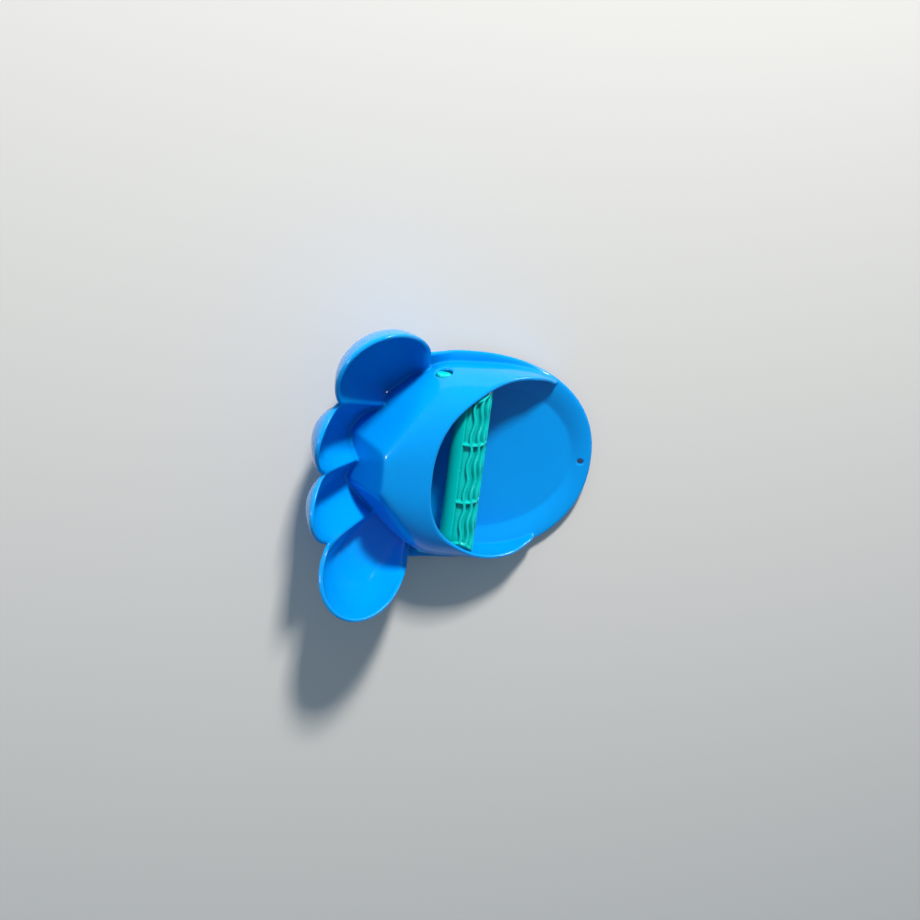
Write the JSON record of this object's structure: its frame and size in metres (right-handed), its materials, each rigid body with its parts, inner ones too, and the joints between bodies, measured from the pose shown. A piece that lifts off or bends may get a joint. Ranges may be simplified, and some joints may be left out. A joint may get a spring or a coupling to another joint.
{
  "type": "hand-worn sand scoop",
  "caption": "Hand-worn sand scoop: a cupped shell with a lobed digging blade, a flange and a finger hood, and a separate ribbed grip bar snapped across the inside.",
  "frame": {"origin": "centre of the bottom of the part's box, on the surface that the flat back lies on", "axes": "+X from the wrist to the fingertips, +Z from the back of the shell to the palm side, Y across the hand; the part is mirror symmetric about the XZ plane"},
  "size_m": [0.1698, 0.163, 0.0601],
  "materials": {
    "blue_shell": "gloss",
    "teal_grip": "satin"
  },
  "bodies": {
    "root": {"paw_shell": "blue_shell", "grip": "teal_grip"}
  },
  "joints": []
}
